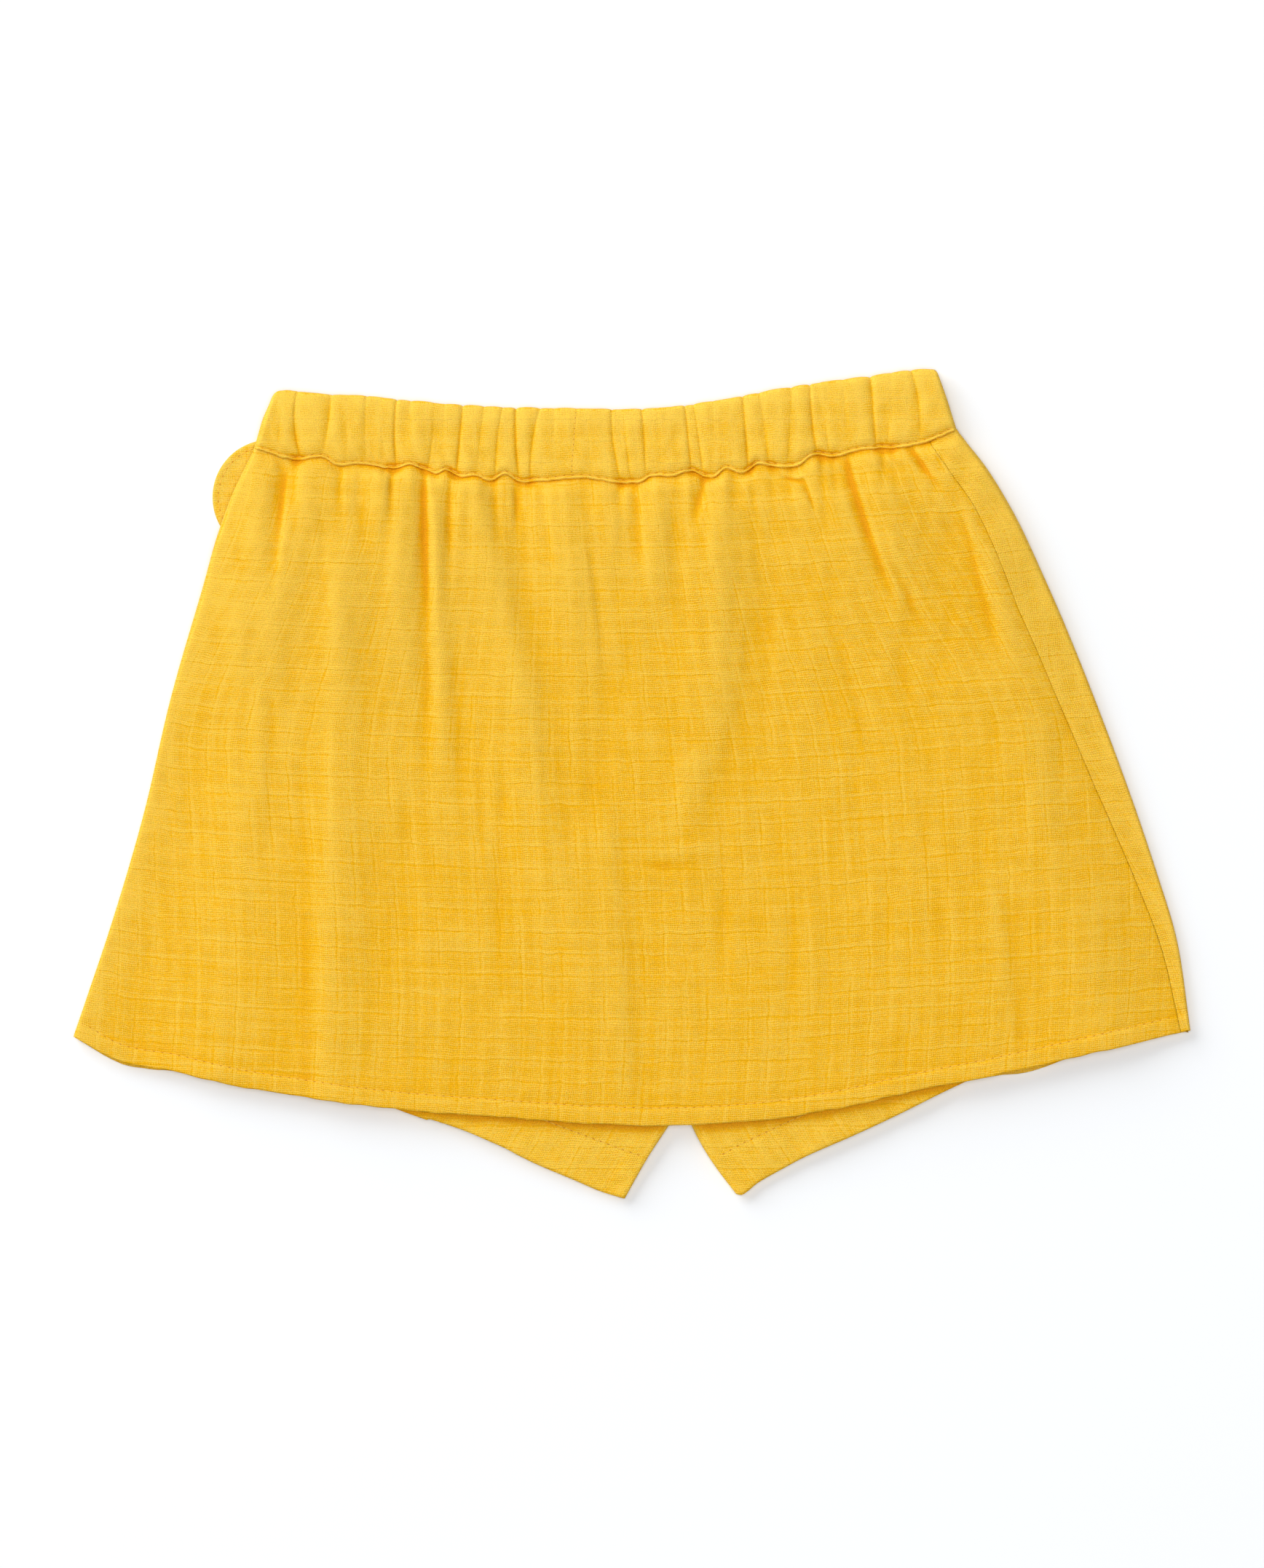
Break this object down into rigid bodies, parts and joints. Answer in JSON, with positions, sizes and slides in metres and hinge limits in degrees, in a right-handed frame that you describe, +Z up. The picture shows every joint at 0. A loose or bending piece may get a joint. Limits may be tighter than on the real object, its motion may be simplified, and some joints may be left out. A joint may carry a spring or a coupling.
{
  "type": "child's culotte skirt",
  "caption": "Toddler's pull-on culotte skirt in yellow double gauze, laid flat: gathered waistband, A-line skirt over wide shorts, round side tab.",
  "frame": {"origin": "centre of the bounding box, on the surface that the garment lies on", "axes": "+X to the right across the garment as its back is looked down on, +Y up towards the waistband, +Z up off the surface"},
  "size_m": [0.337, 0.2503, 0.0113],
  "materials": {
    "gauze_waistband": "matt crinkled cotton double gauze, gathered over elastic",
    "gauze_skirt": "matt crinkled cotton double gauze",
    "gauze_shorts": "matt crinkled cotton double gauze",
    "gauze_tab": "matt cotton double gauze, two layers, edge-stitched"
  },
  "bodies": {
    "root": {"waistband": "gauze_waistband", "skirt_back": "gauze_skirt", "skirt_front": "gauze_skirt", "shorts_left_leg": "gauze_shorts", "shorts_right_leg": "gauze_shorts", "side_tab": "gauze_tab"}
  },
  "joints": []
}
